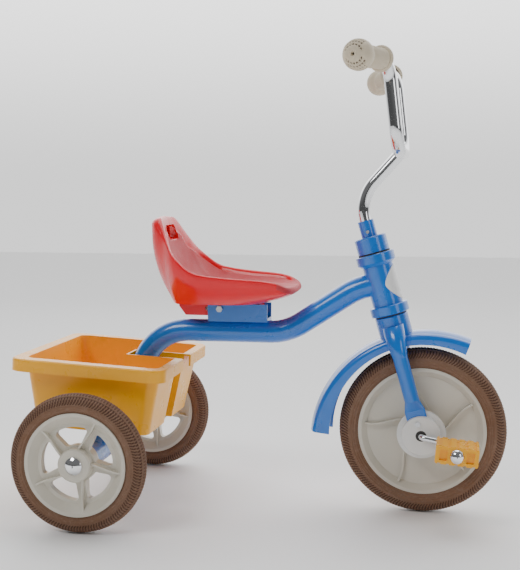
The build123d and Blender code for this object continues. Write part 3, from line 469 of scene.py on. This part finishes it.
# ---------------------------------------------------------------- tyres with tread
def tread_tyre(name, hub, rim, radius, teeth, node, body):
    """A moulded tyre: rings near the rim, knurled shoulders and a zigzag crown."""
    half = [(rim - 1, 13.8), (rim + 2, 15.6), (rim + 6, 17.3), (rim + 11, 18), (radius - 13, 17.8),
            (radius - 9, 16.4), (radius - 6, 14.2), (radius - 3, 10.4), (radius - 1, 5.6), (radius - 0.2, 0)]
    section = smooth_curve(half + [(r, -y) for r, y in half[-2::-1]], 111)
    slope = np.gradient(section, axis=0)
    normal = np.column_stack([-slope[:, 1], slope[:, 0]])
    normal /= np.linalg.norm(normal, axis=1)[:, None]
    turn = np.linspace(0, 2 * math.pi, 4 * teeth, endpoint=False)
    r, y = section[:, 0], section[:, 1]
    rings = sum(0.9 * np.exp(-((r - rim - at) / 0.9) ** 2) for at in (4.5, 8, 11.5))
    edge = fade(r, radius - 15, radius - 13.5) * (1 - fade(r, radius - 3.4, radius - 2.6))
    crown = fade(r, radius - 2.4, radius - 1.6)
    furrows = -0.8 * (np.exp(-((r - radius + 3.0) / 0.45) ** 2) + np.exp(-((r - radius + 15.2) / 0.5) ** 2))
    phase = teeth * turn[:, None]
    knurl = 0.7 * np.sin(phase + 0.9 * np.abs(y) + 1.1 * r) - 0.7
    zigzag = 0.65 * np.sin(phase + 1.6 * np.abs((np.abs(y) % 4) - 2)) - 0.65
    lift = rings + furrows + edge * knurl + crown * zigzag
    rr = r + normal[:, 0] * lift * np.sign(normal[len(r) // 2, 0])
    yy = y + normal[:, 1] * lift * np.sign(normal[len(r) // 2, 0])
    rows = np.stack([hub.x * 1000 + rr * np.cos(turn)[:, None], hub.y * 1000 + yy,
                     hub.z * 1000 + rr * np.sin(turn)[:, None]], axis=-1)
    rows = rows.transpose(1, 0, 2)
    # faces sunk deeper than 0.75 mm take the dark groove material: painted shade in the tread grooves
    groove_shade_mask = lift < -0.75
    obj = grid(name, rows, rubber, groove_painted_shade, lambda row, column: groove_shade_mask[column, row])
    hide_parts(node)
    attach(obj, body)


tread_tyre("front_tyre_tread", Vector((front_hub.x, 0, front_hub.z)), 95, 125, 170,
           "front_tyre", "front_wheel")
for side, hub in rear_hubs.items():
    tread_tyre(f"rear_tyre_{side}_tread", hub, 74, 100, 136, f"rear_tyre_{side}", f"rear_wheel_{side}")


# ---------------------------------------------------------------- grips
# along the grip from the middle of its ball, and radius
GRIP_PROFILE = [
    (-82.0, 9.7), (-81.5, 11.8), (-82.2, 12.4), (-83.6, 13.0), (-84.0, 15.0), (-83.2, 17.2), (-81.0, 18.4),
    (-78.4, 17.8), (-76.6, 15.9), (-75.5, 14.6), (-60, 14.4), (-40, 15.0), (-26, 14.4), (-19, 13.2),
    (-17, 13.4), (-15, 14.7), (-10, 18.46), (-5, 20.4), (0, 21), (5, 20.4), (10, 18.46), (15, 14.7),
    (18.5, 9.93), (20.3, 5.4), (20.6, 3.4), (19.0, 2.2), (14, 1.8),
]


def grip_handle(name, side, node):
    """A ball-ended grip with ribs round its waist and dimples on the ball."""
    sweep, droop, length = math.radians(17), 4.5, 111
    out = Vector((-math.sin(sweep) * length, side * math.cos(sweep) * length, -droop))
    low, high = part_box(node)
    ball = Vector(((low.x + 0.021), (high.y - 0.021) if side > 0 else (low.y + 0.021), 0)) * 1000
    ball.z = front_hub.z * 1000 + 538.5 - droop
    along = out.normalized()
    up = (Vector((0, 0, 1)) - along * along.z).normalized()
    flat = along.cross(up)
    profile = smooth_curve(GRIP_PROFILE, 170)
    t, r = profile[:, 0], profile[:, 1]
    waist = fade(t, -74, -71) * (1 - fade(t, -24, -21))
    r = r + waist * (0.45 * np.cos(2 * math.pi * t / 2.6) - 0.2)
    turn = np.linspace(0, 2 * math.pi, 96, endpoint=False)
    t2 = np.repeat(t[:, None], 96, axis=1)
    r2 = np.repeat(r[:, None], 96, axis=1)
    polar = np.arctan2(r2, t2)
    # marks the open end and, below, the dimples for the dark material: painted shade in these recesses
    recess_shade_mask = np.where((t2 < -80.8) & (r2 < 13), 2.0, 0.0)
    for ring, offset in ((38, 0), (54, 0.5), (70, 0), (86, 0.5)):
        for pole in (0, 180):
            for k in range(-3, 4):
                bearing = math.radians(pole + (k + offset) * 900 / (ring + 6))
                gap = (turn[None, :] - bearing + math.pi) % (2 * math.pi) - math.pi
                away = np.hypot(21 * (polar - math.radians(ring)), 21 * np.sin(polar) * gap)
                dent = 2.2 * np.exp(-(away / 1.6) ** 2) * (t2 > -12)
                recess_shade_mask = np.maximum(recess_shade_mask, dent)
                r2 = r2 - dent * np.sin(polar)
                t2 = t2 - dent * np.cos(polar)
    rows = [[ball + along * float(a) + (up * math.cos(w) + flat * math.sin(w)) * float(b)
             for a, b, w in zip(ta, ra, turn)] for ta, ra in zip(t2, r2)]
    # faces in the recesses get the painted-shade material
    obj = grid(name, rows, grip, grip_hollow_painted_shade, lambda row, column: recess_shade_mask[row, column] > 1.0)
    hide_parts(node)
    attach(obj, "steering")


grip_handle("grip_right_handle", -1, "grip_right")
grip_handle("grip_left_handle", 1, "grip_left")


# ---------------------------------------------------------------- stage
floor_shader = Shader("studio_floor", (0.97, 0.97, 0.97), 0.6, Specular_IOR_Level=0.2)
floor_shader.tint(floor_shader.span(floor_shader.noise(1.5, 3), 0.3, 0.7, 0, 0.2), (0.95, 0.95, 0.95))
floor_mesh = bpy.data.meshes.new("floor")
floor_mesh.from_pydata([(-6, -6, 0), (6, -6, 0), (6, 6, 0), (-6, 6, 0)], [], [(0, 1, 2, 3)])
floor_mesh.materials.append(floor_shader.material)
floor = bpy.data.objects.new("floor", floor_mesh)
bpy.context.scene.collection.objects.link(floor)
